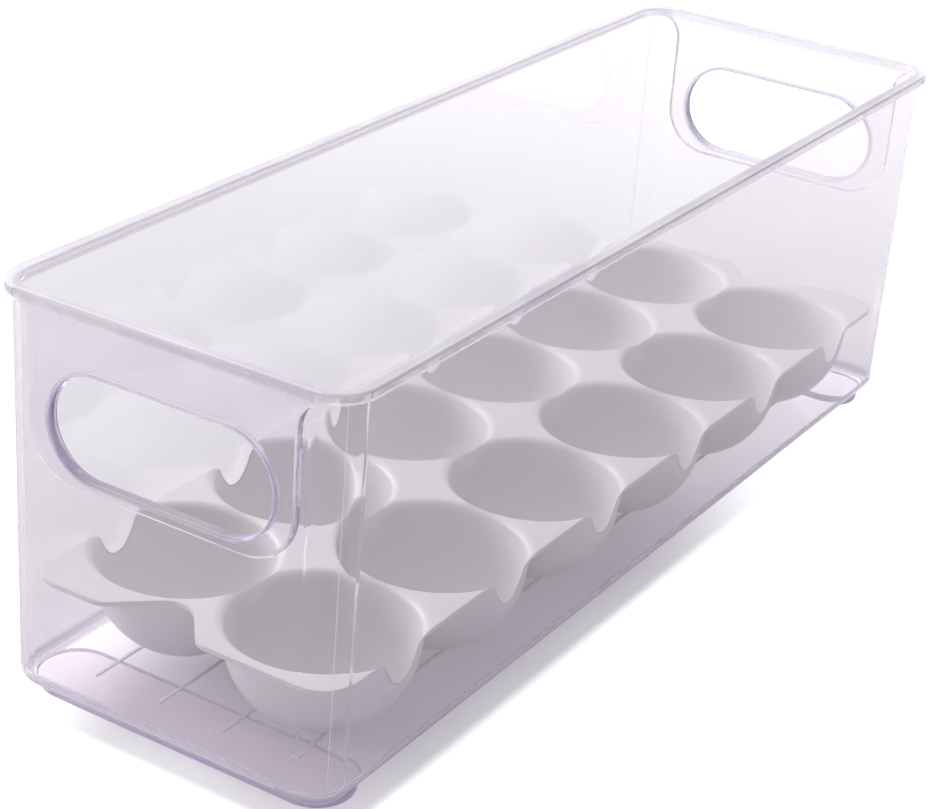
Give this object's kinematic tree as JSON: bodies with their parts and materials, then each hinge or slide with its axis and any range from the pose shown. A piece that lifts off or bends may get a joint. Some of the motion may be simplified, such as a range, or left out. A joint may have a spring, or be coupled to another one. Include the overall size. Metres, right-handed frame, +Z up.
{
  "type": "egg keeper",
  "caption": "Open clear refrigerator bin with a hand hole in each end wall, holding a loose white tray of egg cups in two staggered rows.",
  "frame": {"origin": "on the shelf surface, under the middle of the bin", "axes": "+Z up, +Y along the bin towards its rear end, +X to the right seen from its front end"},
  "size_m": [0.102, 0.317, 0.11],
  "materials": {
    "clear_plastic": "clear, glossy, with a faint lavender tint",
    "white_plastic": "white, slightly translucent, soft gloss"
  },
  "bodies": {
    "bin": {"bin": "clear_plastic"},
    "egg_tray": {"egg_tray": "white_plastic"}
  },
  "joints": [
    {"name": "egg_tray_lift", "type": "slide", "parent": "bin", "child": "egg_tray", "axis": [0, 0, 1], "range_m": [0, 0.12]}
  ]
}
